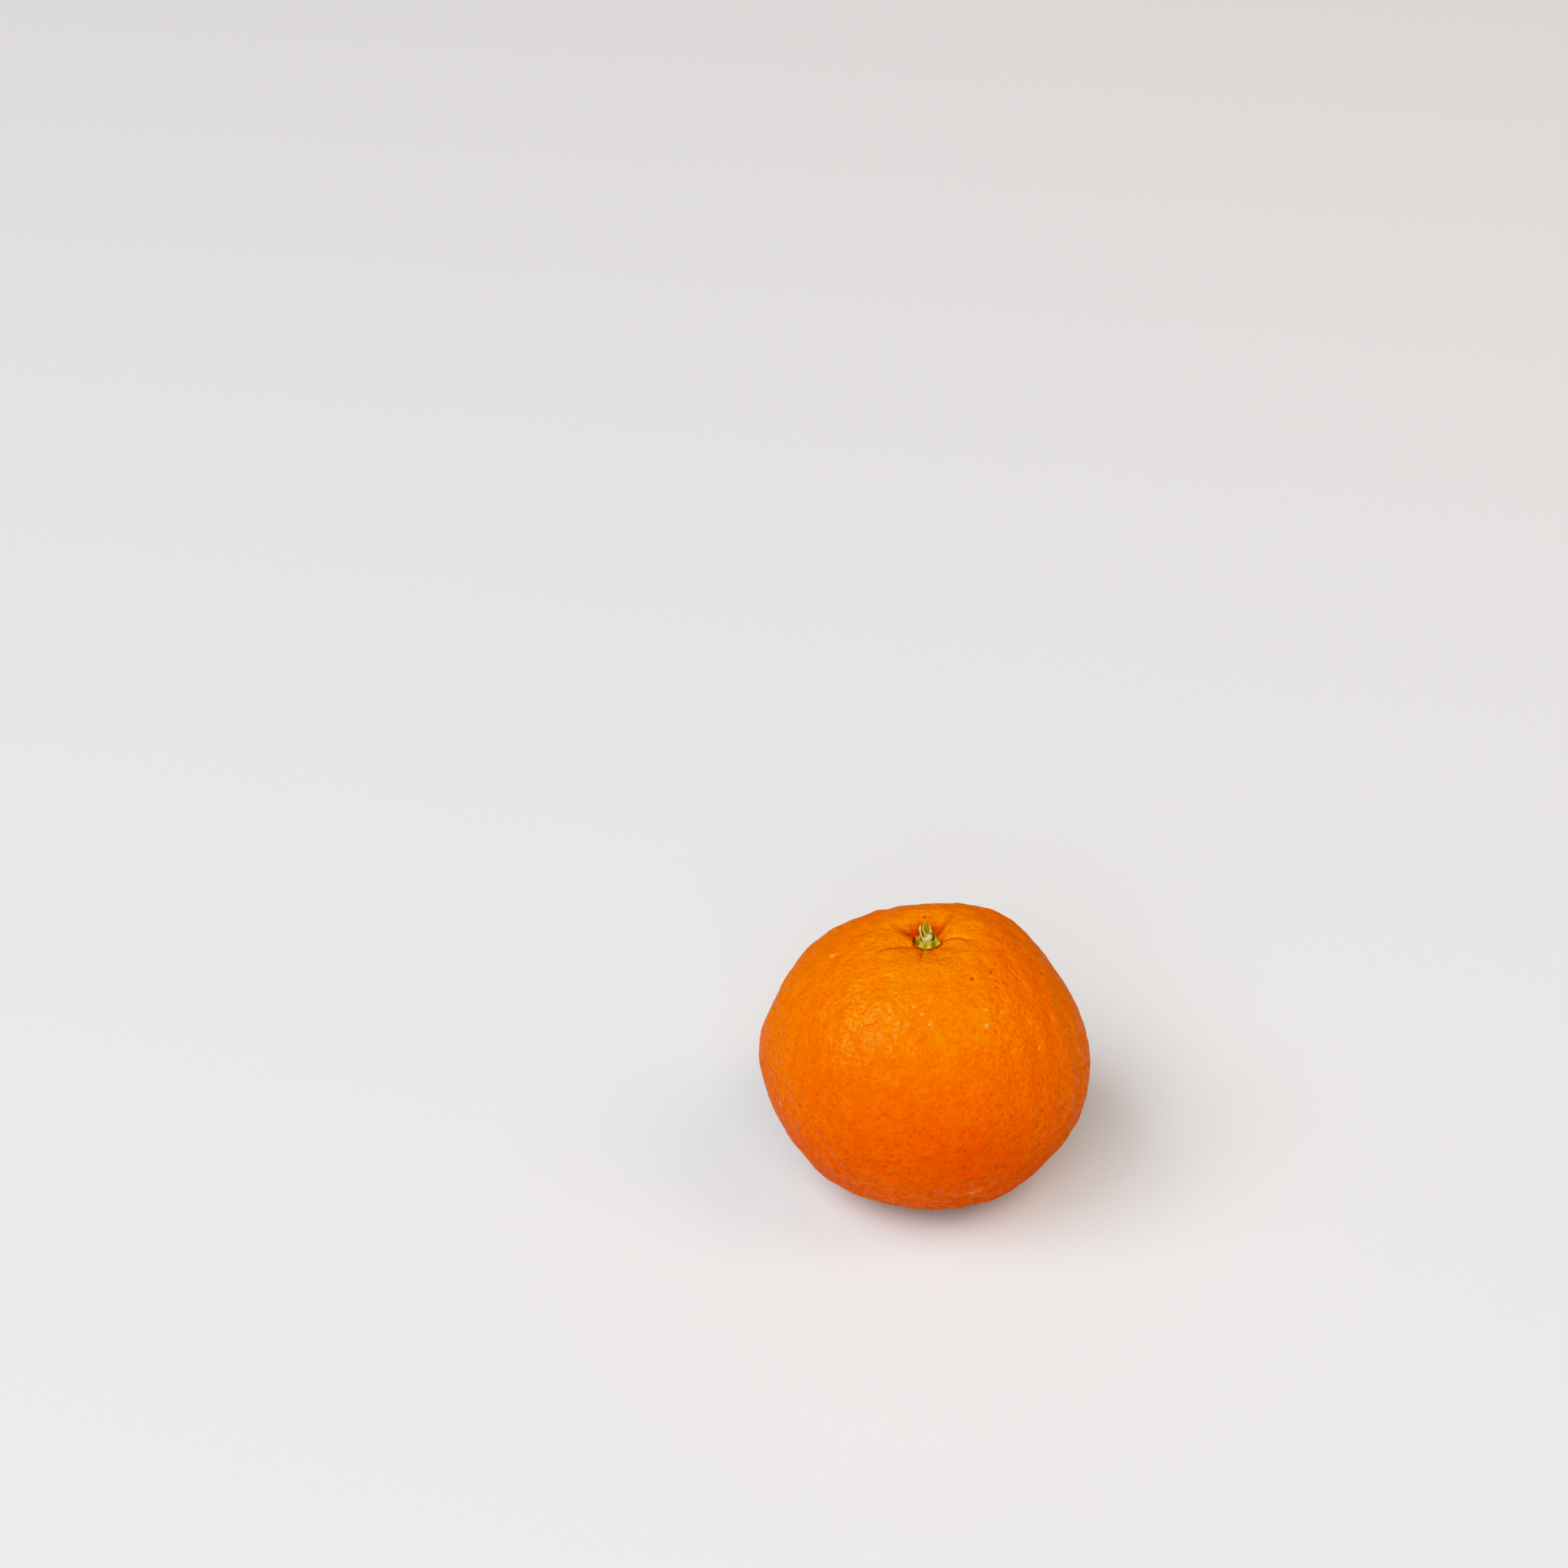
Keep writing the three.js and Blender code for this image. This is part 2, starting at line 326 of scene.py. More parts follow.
class MandarinPeelSettings(bpy.types.PropertyGroup):
    width: size("Width", "Across the equator, before the swells", 63 * MM)
    height: size("Height", "Pole to pole, before the stem hollow and the rest flat", 57.4 * MM)
    rest_flat: size("Rest flat", "Radius of the flat that the fruit stands on", 6 * MM)
    hollow_depth: size("Hollow depth", "Depth of the dip that the stem sits in", 3 * MM)
    hollow_reach: size("Hollow reach", "How far the dip spreads from the axis", 7 * MM)
    crowding: share("Crowding", "Under 1 draws the peel's points together round the stem", 0.72)
    pebble_height: size("Pebble height", "Height of each wave of the uneven skin", 0.05 * MM)
    pebble_length: size("Pebble length", "From one wave of the uneven skin to the next", 5.2 * MM)
    gland_spacing: size("Gland spacing", "From one oil gland to the next", 0.85 * MM)
    gland_depth: size("Gland depth", "Depth of the dimple over an oil gland", 0.12 * MM)
    gland_radius: size("Gland radius", "Radius of the dimple over an oil gland", 0.45 * MM)
    seed: IntProperty(name="Seed", description="Draws another skin", default=7, min=0)
    orange: colour("Orange", "The peel where it is palest", (0.695, 0.141, 0.004))
    # Also partly painted shade, on the lower front and in the glands' dimples.
    deep_orange: colour("Deep orange", "The peel where it is deepest", (0.492, 0.048, 0.003))
    # Also the colour of the painted shade in the furrows, the glands' dimples and the dip round the calyx.
    pore: colour("Pore", "The dark middle of an oil gland", (0.29, 0.022, 0.002))
    young_orange: colour("Young orange", "The peel round the stem", (0.73, 0.2, 0.005))
    # Painted shadow: the dark brown of the shadow in the gap between the calyx and the peel.
    calyx_gap_shadow: colour("Stain", "The brown peel against the calyx", (0.11, 0.026, 0.002))
    pale_scar: colour("Pale scar", "Dry corky flecks", (0.5, 0.33, 0.19))
    dark_speck: colour("Dark speck", "Small brown marks", (0.13, 0.032, 0.008))


class MandarinCalyxSettings(bpy.types.PropertyGroup):
    aside: size("Aside", "How far the calyx and the stem stand from the fruit's axis", 0.25 * MM)
    hole: size("Hole", "Radius of the hole that the stem stands in", 1.32 * MM)
    crest: size("Crest", "Radius of the collar's crest", 1.66 * MM)
    valley: size("Valley", "Radius of the edge between two lobes", 1.92 * MM)
    green: colour("Green", "The calyx's upper face", (0.25, 0.21, 0.022))
    # Also the painted highlight along the rims and crest, and the pale patches.
    pale: colour("Pale", "The worn rims of its lobes", (0.41, 0.35, 0.075))
    # The colour of the painted shade in the hole, between the lobes, under the rims and along the back.
    deep: colour("Deep", "The hole and the creases", (0.13, 0.11, 0.02))
    brown: colour("Brown", "Dry brown patches", (0.12, 0.06, 0.015))


class MandarinStemSettings(bpy.types.PropertyGroup):
    radius: size("Radius", "Of the broken core", 0.92 * MM)
    rise: size("Rise", "Height of the core's tallest part", 1.75 * MM)
    step: size("Step", "How much lower the break is on the left", 0.65 * MM)
    fibres: IntProperty(
        name="Fibres", description="How many fine fibres stand up out of the break", default=26, min=0
    )
    seed: IntProperty(name="Seed", description="Draws other fibres", default=3, min=0)
    wood: colour("Wood", "Fresh torn wood", (0.47, 0.4, 0.17))
    young_bark: colour("Young bark", "The yellow side of the bark", (0.36, 0.29, 0.05))
    bark: colour("Bark", "The green side of the bark", (0.21, 0.18, 0.017))
    # Also the painted shade in the hole, low on the strips and the core and inside the fibres' ends; and the
    # wood's darker grain and blotches.
    deep: colour("Deep", "Slits and holes", (0.04, 0.03, 0.008))


class MandarinStudioSettings(bpy.types.PropertyGroup):
    focal_length: FloatProperty(name="Focal length", description="Of the camera", default=90, unit="CAMERA")
    distance: size("Distance", "From the camera to the middle of the fruit", 760 * MM)
    rise: FloatProperty(
        name="Rise",
        description="How far above the level the camera stands, seen from the fruit",
        default=math.radians(34.5),
        subtype="ANGLE",
    )
    tilt: FloatProperty(
        name="Tilt", description="How far down the camera looks", default=math.radians(30.56), subtype="ANGLE"
    )
    turn: FloatProperty(
        name="Turn", description="How far left the camera looks", default=math.radians(2.47), subtype="ANGLE"
    )
    floor: colour("Floor", "The pale floor", (0.595, 0.605, 0.615))
    world: colour("Surroundings", "Soft light from all round", (0.9, 0.92, 0.95))
    world_strength: FloatProperty(
        name="Surroundings strength", description="Brightness of the surroundings", default=0.18
    )
    key_power: lamp_power("Key power", "Of the soft light on the left", 128)
    front_power: lamp_power("Front power", "Of the broad light behind the camera", 220)
    fill_power: lamp_power("Fill power", "Of the soft light on the right", 68)
    fill_colour: colour("Fill colour", "Of the light on the right, warm as light off fruit", (1, 0.73, 0.55))


# ---- Node trees ----


class Value:
    """A value in a node tree. Arithmetic on it adds Math nodes to the tree."""

    def __init__(self, tree, socket):
        self.tree = tree
        self.socket = socket

    def math(self, operation, *others):
        return maths(self.tree, operation, self, *others)

    def vector(self, operation, *others):
        made = self.tree.nodes.new("ShaderNodeVectorMath")
        made.operation = operation
        places = (0, 3) if operation == "SCALE" else (0, 1, 2)
        for place, value in zip(places, (self, *others)):
            plug(value, made.inputs[place])
        number = operation in ("LENGTH", "DISTANCE", "DOT_PRODUCT")
        return Value(self.tree, made.outputs["Value" if number else "Vector"])

    def __add__(self, other):
        return self.math("ADD", other)

    def __sub__(self, other):
        return self.math("SUBTRACT", other)

    def __rsub__(self, other):
        return maths(self.tree, "SUBTRACT", other, self)

    def __mul__(self, other):
        return self.math("MULTIPLY", other)

    def __truediv__(self, other):
        return self.math("DIVIDE", other)

    def __rtruediv__(self, other):
        return maths(self.tree, "DIVIDE", other, self)

    __radd__ = __add__
    __rmul__ = __mul__


def plug(value, socket):
    if isinstance(value, Value):
        value.tree.links.new(value.socket, socket)
    else:
        socket.default_value = value


def maths(tree, operation, *values):
    made = tree.nodes.new("ShaderNodeMath")
    made.operation = operation
    for socket, value in zip(made.inputs, values):
        plug(value, socket)
    return Value(tree, made.outputs[0])


def feed(made, **inputs):
    """Gives a node its inputs, as numbers or as values to follow. They go by name, with _ for a space."""
    for name, value in inputs.items():
        plug(value, made.inputs[name.replace("_", " ")])


def add(tree, kind, settings=None, **inputs):
    """Adds a node. Its settings are its own attributes."""
    made = tree.nodes.new(kind)
    for name, value in (settings or {}).items():
        setattr(made, name, value)
    feed(made, **inputs)
    return made


def out(made, name=0):
    return Value(made.id_data, made.outputs[name])


def use_group(tree, group, **inputs):
    return add(tree, tree.bl_idname.replace("NodeTree", "NodeGroup"), {"node_tree": group}, **inputs)


def new_group(name, kind, inputs, outputs):
    """A node group, its inputs as Values by name, and the node that its outputs go to."""
    tree = bpy.data.node_groups.new(name, kind)
    for direction, sockets in (("INPUT", inputs), ("OUTPUT", outputs)):
        for label, socket_kind in sockets.items():
            tree.interface.new_socket(name=label, in_out=direction, socket_type="NodeSocket" + socket_kind)
    entry = tree.nodes.new("NodeGroupInput")
    return tree, {label: out(entry, label) for label in inputs}, tree.nodes.new("NodeGroupOutput")


def join(tree, x=0.0, y=0.0, z=0.0):
    return out(add(tree, "ShaderNodeCombineXYZ", X=x, Y=y, Z=z))


def split(vector):
    made = add(vector.tree, "ShaderNodeSeparateXYZ", Vector=vector)
    return out(made, "X"), out(made, "Y"), out(made, "Z")


def smoothstep(value, low, high, to_low=0.0, to_high=1.0):
    made = add(
        value.tree,
        "ShaderNodeMapRange",
        {"interpolation_type": "SMOOTHSTEP"},
        Value=value,
        From_Min=low,
        From_Max=high,
        To_Min=to_low,
        To_Max=to_high,
    )
    return out(made)


def bell(value, width):
    ratio = value / width
    return (ratio * ratio * -1).math("EXPONENT")


def highest(values):
    return reduce(lambda first, second: first.math("MAXIMUM", second), values)


def noise(tree, position, scale, detail=2.0, roughness=0.5):
    made = add(tree, "ShaderNodeTexNoise", Vector=position, Scale=scale, Detail=detail, Roughness=roughness)
    return out(made)


def store(tree, mesh, name, kind, value):
    """The mesh with a value stored under a name at its points."""
    made = add(
        tree, "GeometryNodeStoreNamedAttribute", {"data_type": kind}, Geometry=mesh, Name=name, Value=value
    )
    return out(made)


def mix(tree, factor, first, second):
    made = add(tree, "ShaderNodeMix", {"data_type": "RGBA"}, Factor=factor)
    sockets = [socket for socket in made.inputs if socket.type == "RGBA"]
    for socket, value in zip(sockets, (first, second)):
        plug(value, socket)
    return Value(tree, next(socket for socket in made.outputs if socket.type == "RGBA"))


def attribute(tree, name, output):
    return out(add(tree, "ShaderNodeAttribute", {"attribute_name": name}), output)


# ---- Materials ----


def new_material(name):
    """A material, its tree, its Principled shader and the coordinates that its patterns go by."""
    material = bpy.data.materials.new(name)
    material.use_nodes = True
    tree = material.node_tree
    shader = next(n for n in tree.nodes if n.type == "BSDF_PRINCIPLED")
    return material, tree, shader, out(add(tree, "ShaderNodeTexCoord"), "Object")


def bump(tree, shader, height):
    made = add(tree, "ShaderNodeBump", Strength=1.0, Distance=1.0, Height=height)
    feed(shader, Normal=out(made, "Normal"))


# ---- Peel ----


def toward(turn, tilt):
    """The unit vector out of the fruit's middle at a turn and a tilt in degrees."""
    turn, tilt = math.radians(turn), math.radians(tilt)
    return Vector((math.sin(tilt) * math.cos(turn), math.sin(tilt) * math.sin(turn), math.cos(tilt)))


def middle_height(peel):
    """The fruit's middle stands so high that the rest flat cuts off a cap of its own radius."""
    return peel.height / 2 * math.sqrt(1 - (2 * peel.rest_flat / peel.width) ** 2)


def swell_group():
    """How far the skin rises at a way out of the middle, for one swell."""
    tree, given, result = new_group(
        "Swell",
        "GeometryNodeTree",
        {"Way": "Vector", "Toward": "Vector", "Spread": "Float", "Out": "Float"},
        {"Rise": "Float"},
    )
    angle = given["Way"].vector("DOT_PRODUCT", given["Toward"]).math("MINIMUM", 1.0).math("ARCCOSINE")
    plug(given["Out"] * bell(angle, given["Spread"]), result.inputs["Rise"])
    return tree


def furrow_group(kind):
    """How deep one furrow is at a turn and a distance from the axis, and how deep its sharp bottom is."""
    run_in, fade, sharp = 1.2 * MM, 0.35, 0.3
    numbers = ("Turn", "From Axis", "Start", "Bend", "From", "To", "Width", "Depth")
    tree, given, result = new_group(
        "Furrow", kind, dict.fromkeys(numbers, "Float"), {"Sink": "Float", "Crease": "Float"}
    )
    from_axis, start = given["From Axis"], given["From"]
    along = (from_axis - start) / (given["To"] - start)
    line = given["Start"] + given["Bend"] * along.math("MAXIMUM", 0.0).math("MINIMUM", 1.0)
    aside = from_axis * (given["Turn"] - line).math("WRAP", math.pi, -math.pi)
    length = smoothstep(from_axis, start - run_in, start + run_in) * smoothstep(along, fade, 1.0, 1.0, 0.0)
    wide = bell(aside, given["Width"])
    narrow = bell(aside, given["Width"] * sharp)
    plug(given["Depth"] * length * (wide * 0.85 + narrow * 0.25), result.inputs["Sink"])
    plug(given["Depth"] * length * narrow, result.inputs["Crease"])
    return tree


def furrows(tree, group, way, from_axis, lines):
    """The depth of all the furrows together, and of their sharp bottoms."""
    x, y, _ = split(way)
    turn_here = y.math("ARCTAN2", x) + (noise(tree, way, 9.0) - 0.5) * 0.16
    made = [
        use_group(
            tree,
            group,
            Turn=turn_here,
            From_Axis=from_axis,
            Start=math.radians(turn),
            Bend=math.radians(bend),
            From=start * MM,
            To=end * MM,
            Width=width * MM,
            Depth=depth * MM,
        )
        for turn, bend, start, end, width, depth in lines
    ]
    return sum(out(furrow, "Sink") for furrow in made), sum(out(furrow, "Crease") for furrow in made)


def pebbles(given, place):
    """The rise of the uneven skin at a place: four crossing waves, which never line up."""
    x, y, z = split(place)
    wave = 2 * math.pi / given["Pebble Length"]
    waves = (
        (wave * (x + y * 0.35)).math("SINE")
        + (wave * (y - z * 0.4) + 1.0).math("SINE")
        + (wave * (z + x * 0.3) + 2.0).math("SINE")
        + (wave * 0.62 * (x - y + z) + 4.0).math("SINE")
    )
    return given["Pebble Height"] * waves


def peel_radius(tree, way, given):
    """The distance from the middle to the smooth skin, and the furrows' sharp bottoms."""
    x, y, z = split(way)
    half_width = given["Width"] / 2.0
    half_height = given["Height"] / 2.0
    plain = 1.0 / join(tree, x / half_width, y / half_width, z / half_height).vector("LENGTH")
    from_axis = plain * join(tree, x, y).vector("LENGTH")
    radius = plain
    swell = swell_group()
    for turn, tilt, spread, rise in SWELLS:
        made = use_group(
            tree, swell, Way=way, Toward=toward(turn, tilt), Spread=math.radians(spread), Out=rise * MM
        )
        radius = radius + out(made)
    radius = radius + pebbles(given, way.vector("SCALE", plain))
    sink, crease = furrows(tree, furrow_group("GeometryNodeTree"), way, from_axis, FURROWS)
    sink = sink + given["Hollow Depth"] * bell(from_axis, given["Hollow Reach"])
    upper = z.math("GREATER_THAN", 0.0)
    return radius - sink * upper, crease * upper


def crowded(tree, way, crowding):
    """Ways out of the middle, drawn together round the stem by scaling the tangent of half their tilt."""
    x, y, z = split(way)
    low = (1.0 - z) * crowding * crowding
    high = z + 1.0
    sideways = crowding * 2.0 / (low + high)
    return join(tree, x * sideways, y * sideways, (high - low) / (high + low))


def nearest_gland(tree, place, spacing):
    """How far it is to the nearest oil gland, and a number from 0 to 1 for how big that is."""
    made = add(tree, "ShaderNodeTexVoronoi", Vector=place, Scale=1.0 / spacing)
    return out(made, "Distance") * spacing, split(out(made, "Color"))[0]


# The peel's settings that its node tree takes, by their names there.
PEEL_NUMBERS = (
    "Width", "Height", "Hollow Depth", "Hollow Reach", "Crowding",
    "Pebble Height", "Pebble Length", "Gland Spacing", "Gland Depth", "Gland Radius",
)


def peel_tree():
    """Swells a cube of even squares into the fruit, and sinks the glands and the rest flat into its skin."""
    numbers = dict.fromkeys((*PEEL_NUMBERS, "Middle Height"), "Float")
    inputs = {**numbers, "Seed": "Int", "Material": "Material"}
    tree, given, result = new_group("Peel", "GeometryNodeTree", inputs, {"Geometry": "Geometry"})
    points = PEEL_SQUARES + 1
    cube = add(
        tree, "GeometryNodeMeshCube", Size=(2, 2, 2), Vertices_X=points, Vertices_Y=points, Vertices_Z=points
    )
    position = out(add(tree, "GeometryNodeInputPosition"))
    # The tangent keeps the squares even while the cube is rounded off to a ball.
    even = position.vector("SCALE", math.pi / 4).vector("TANGENT").vector("NORMALIZE")
    way = crowded(tree, even, given["Crowding"])
    radius, crease = peel_radius(tree, way, given)
    mesh = store(tree, out(cube), "crease", "FLOAT", crease)
    placed = way.vector("SCALE", radius).vector("ADD", join(tree, z=given["Middle Height"]))
    mesh = out(add(tree, "GeometryNodeSetPosition", Geometry=mesh, Position=placed))

    skin_place = position.vector("ADD", join(tree, x=given["Seed"] * 0.01))
    mesh = store(tree, mesh, "skin_place", "FLOAT_VECTOR", skin_place)
    apart, gland_size = nearest_gland(tree, skin_place, given["Gland Spacing"])
    dimple = bell(apart, given["Gland Radius"]) * (gland_size * 0.6 + 0.4) * given["Gland Depth"]
    uneven = (noise(tree, position, 240.0, 2.5) - 0.5) * 0.7 * MM
    normal = out(add(tree, "GeometryNodeInputNormal"))
    offset = normal.vector("SCALE", uneven - dimple)
    mesh = out(add(tree, "GeometryNodeSetPosition", Geometry=mesh, Offset=offset))

    rim = 0.3 * MM
    x, y, z = split(position)
    flattened = join(tree, x, y, z.math("SMOOTH_MAX", 0.0, rim))
    mesh = out(add(tree, "GeometryNodeSetPosition", Geometry=mesh, Position=flattened))
    mesh = out(add(tree, "GeometryNodeSetShadeSmooth", Geometry=mesh))
    mesh = out(add(tree, "GeometryNodeRealizeInstances", Geometry=mesh))
    mesh = out(add(tree, "GeometryNodeSetMaterial", Geometry=mesh, Material=given["Material"]))
    plug(mesh, result.inputs["Geometry"])
    return tree


def fleck_group():
    """How much of a round fleck, and of its middle, is at a place on the peel."""
    tree, given, result = new_group(
        "Fleck",
        "ShaderNodeTree",
        {"Way": "Vector", "Toward": "Vector", "Radius": "Float"},
        {"Fleck": "Float", "Middle": "Float"},
    )
    apart = given["Way"].vector("DISTANCE", given["Toward"]) / given["Radius"]
    plug(smoothstep(apart, 0.5, 1.2, 1.0, 0.0), result.inputs["Fleck"])
    plug(smoothstep(apart, 0.1, 0.6, 1.0, 0.0), result.inputs["Middle"])
    return tree


def flecks(tree, group, way, places, reach):
    """All the flecks of one kind, and all their middles, on a fruit of this radius."""
    made = [
        use_group(tree, group, Way=way, Toward=toward(turn, tilt), Radius=radius * MM / reach)
        for turn, tilt, radius in places
    ]
    return highest(out(fleck, "Fleck") for fleck in made), highest(out(fleck, "Middle") for fleck in made)


def skin_colour(tree, settings, here, centred, from_stem, near_stem, fine):
    """Orange, deeper low down and in patches, with faint streaks that run out from the stem. Deeper on the
    lower front partly as its own colour and partly as painted shade.
    """
    x, y, _ = split(here)
    outward = join(tree, x, y).vector("NORMALIZE").vector("SCALE", 7.0)
    streak_place = outward.vector("ADD", join(tree, z=from_stem * 150.0))
    streaks = smoothstep(noise(tree, streak_place, 1.0, 3.0), 0.3, 0.7)
    broad = smoothstep(noise(tree, here, 45.0, 3.0), 0.3, 0.7)
    patches = smoothstep(noise(tree, here, 420.0, 2.0), 0.35, 0.65)
    # Partly painted shade: deeper towards the lower front, along an axis tilted back from upright.
    height = centred.vector("DOT_PRODUCT", (0, 0.42, 0.9))
    deep = smoothstep(height, -20 * MM, 20 * MM, 0.65, 0.0)
    deep = deep + broad * 0.16 + patches * 0.14 + fine * 0.1 + streaks * near_stem * 0.38
    return mix(tree, deep, settings.orange, settings.deep_orange)


def crease_lines(tree, settings, way):
    """How much painted shade darkens the furrows' sharpest lines."""
    x, y, _ = split(way)
    from_axis = join(tree, x, y).vector("LENGTH") * (settings.height / 2)
    lines, _ = furrows(tree, furrow_group("ShaderNodeTree"), way, from_axis, CREASES)
    return lines / MM


def painted_hollow_shade(here, from_stem, near_stem):
    """Painted shade: how much the peel is darkened in the dip round the calyx, most of all behind it."""
    x, y, _ = split(here)
    behind = smoothstep(y - x * 0.3, 1 * MM, 4 * MM)
    shade = smoothstep(from_stem * (behind * -0.35 + 1), 2.3 * MM, 5 * MM, 1.0, 0.0)
    return shade * (behind * 0.7 + 0.22) * near_stem


def painted_gap_shadow(tree, settings, here, way, from_stem, near_stem, marks):
    """Painted shadow: how much brown shadow lies in the gap along the calyx's edge, most of all on its left
    and in a few spots.
    """
    x, y, _ = split(here)
    left = smoothstep(x - y, -2.6 * MM, -1.4 * MM, 0.8, 0.45)
    edge = from_stem + (noise(tree, here, 900.0) - 0.5) * 0.9 * MM
    band = smoothstep(edge, 2.6 * MM, 3.15 * MM, 1.0, 0.0) * left * near_stem
    spots, _ = flecks(tree, marks, way, GAP_SHADOW_SPOTS, settings.width / 2)
    return (band * 0.9).math("MAXIMUM", spots * 0.9)


def peel_material(settings, calyx_aside):
    material, tree, shader, here = new_material("Mandarin peel")
    centred = here.vector("SUBTRACT", (0, 0, middle_height(settings)))
    way = centred.vector("NORMALIZE")
    x, y, z = split(here)
    upper = z.math("GREATER_THAN", 30 * MM)
    rough_part = smoothstep(z, 24 * MM, 50 * MM, 1.0, 0.25)
    from_stem = join(tree, x - calyx_aside, y).vector("LENGTH")
    near_stem = smoothstep(from_stem, 4 * MM, 13 * MM, 1.0, 0.0) * upper

    ragged = out(add(tree, "ShaderNodeTexNoise", Vector=here, Scale=900.0), "Color")
    ragged = ragged.vector("SUBTRACT", (0.5, 0.5, 0.5))
    skin_place = attribute(tree, "skin_place", "Vector").vector("ADD", ragged.vector("SCALE", 0.4 * MM))
    apart, gland_size = nearest_gland(tree, skin_place, settings.gland_spacing)
    pit = bell(apart, 0.36 * MM)
    pore = smoothstep(apart, 0.06 * MM, 0.3 * MM, 1.0, 0.0) * gland_size * gland_size * rough_part
    crease = attribute(tree, "crease", "Fac") / MM
    line = crease_lines(tree, settings, way) * upper

    marks = fleck_group()
    ragged_way = centred.vector("ADD", ragged.vector("SCALE", 1.3 * MM)).vector("NORMALIZE")
    pale, pale_middle = flecks(tree, marks, ragged_way, PALE_FLECKS, settings.width / 2)
    dark, _ = flecks(tree, marks, ragged_way, DARK_MARKS, settings.width / 2)

    fine = smoothstep(noise(tree, here, 900.0, 3.0), 0.35, 0.65)
    skin = skin_colour(tree, settings, here, centred, from_stem, near_stem, fine)
    young = smoothstep(from_stem, 5 * MM, 17 * MM, 0.55, 0.0) * upper
    for amount, tint in (
        (young, settings.young_orange),
        # Partly the glands' own deeper colour and partly painted shade in their dimples.
        (pit * 0.38, settings.deep_orange),
        (pore * 0.65 + pit * rough_part * 0.08, settings.pore),
        # Painted shade along the furrows and their sharpest lines.
        ((crease * 0.6 + line).math("MINIMUM", 0.85), settings.pore),
        # Painted shade in the dip round the calyx, deepest behind it.
        (painted_hollow_shade(here, from_stem, near_stem), settings.pore),
        # Painted shadow in the gap along the calyx's edge.
        (painted_gap_shadow(tree, settings, here, way, from_stem, near_stem, marks), settings.calyx_gap_shadow),
        (pale * (0.2 + fine * 0.5), settings.pale_scar),
        ((pale_middle * 0.5).math("MAXIMUM", dark * 0.8), settings.dark_speck),
    ):
        skin = mix(tree, amount, skin, tint)
    facing = out(add(tree, "ShaderNodeLayerWeight", Blend=0.5), "Facing")
    feed(
        shader,
        Base_Color=skin,
        Roughness=fine * 0.14 + 0.21 + smoothstep(facing, 0.35, 0.75) * 0.26,
        Specular_IOR_Level=0.21,
        Specular_Tint=(1, 0.88, 0.6, 1),
        Subsurface_Weight=0.1,
        Subsurface_Radius=(1.0, 0.3, 0.08),
        Subsurface_Scale=1.2 * MM,
    )

    grain = noise(tree, here, 2000.0, 3.0) * 0.1 * MM
    waves = noise(tree, here, 560.0, 2.5, 0.55) * 0.4 * MM
    dimples = pit * (gland_size * 0.7 + 0.3) * 0.18 * MM
    bump(tree, shader, (grain - dimples) * rough_part + waves - line * 0.2 * MM)
    return material


# ---- Shells over rings of points ----


class Skin:
    """A mesh made of closed shells, each over rings of points, with values stored at its points."""

    def __init__(self, **marks):
        self.points = []
        self.faces = []
        self.marks = {name: [] for name in marks}
        self.kinds = marks

    def shell(self, rings, ends=None):
        """Adds a shell over rings of (point, marks). It ends in two points, or joins onto its first ring."""
        first = len(self.points)
        around = len(rings[0])
        rows = [*rings, *([[end] for end in ends] if ends else [])]
        for ring in rows:
            for point, marks in ring:
                self.points.append(point)
                for name, value in zip(self.marks, marks):
                    self.marks[name].append(value)
        bands = len(rings) - 1 if ends else len(rings)
        for band in range(bands):
            low = first + band * around
            high = first + (band + 1) % len(rings) * around
            for i in range(around):
                j = (i + 1) % around
                self.faces.append((low + i, low + j, high + j, high + i))
        if ends:
            last = first + bands * around
            tip = first + len(rings) * around
            for i in range(around):
                j = (i + 1) % around
                self.faces.append((tip, first + j, first + i))
                self.faces.append((tip + 1, last + i, last + j))

    def piece(self, name, material):
        mesh = bpy.data.meshes.new(name)
        mesh.from_pydata(self.points, [], self.faces)
        for label, kind in self.kinds.items():
            layer = mesh.attributes.new(label, kind, "POINT")
            field = "color" if kind == "FLOAT_COLOR" else "value"
            for item, value in zip(layer.data, self.marks[label]):
                setattr(item, field, value)
        mesh.materials.append(material)
        shape = bmesh.new()
        shape.from_mesh(mesh)
        bmesh.ops.recalc_face_normals(shape, faces=shape.faces)
        shape.to_mesh(mesh)
        shape.free()
        mesh.shade_smooth()
        return new_object(name, mesh)


def angles_round(steps):
    return [2 * math.pi * i / steps for i in range(steps)]


def smooth(value):
    """0 up to 0 and 1 from 1, with a smooth rise between."""
    value = max(0, min(1, value))
    return value * value * (3 - 2 * value)


def mixed(first, second, factor):
    return tuple(a + (b - a) * factor for a, b in zip(first, second))


def roughly(x, y, z, fineness, seed=0):
    """An uneven value from -1 to 1, which changes smoothly from place to place."""
    return noise_at(Vector((x, y, z)) * fineness + Vector((seed * 7.3, seed * 3.1, 0)))


def between(before, start, end, after, part):
    """The number that part of the way from start to end, on a smooth curve through all four."""
    return 0.5 * (
        2 * start
        + (end - before) * part
        + (2 * before - 5 * start + 4 * end - after) * part**2
        + (3 * start - before - 3 * end + after) * part**3
    )


def smooth_path(points, cuts):
    """The points of a curve through the given ones, with so many steps from each to the next."""
    path = []
    last = len(points) - 1
    for i in range(last):
        four = [points[min(max(i + k, 0), last)] for k in (-1, 0, 1, 2)]
        for cut in range(cuts):
            path.append(tuple(between(*numbers, cut / cuts) for numbers in zip(*four)))
    path.append(tuple(points[-1]))
    return path


# ---- Calyx ----


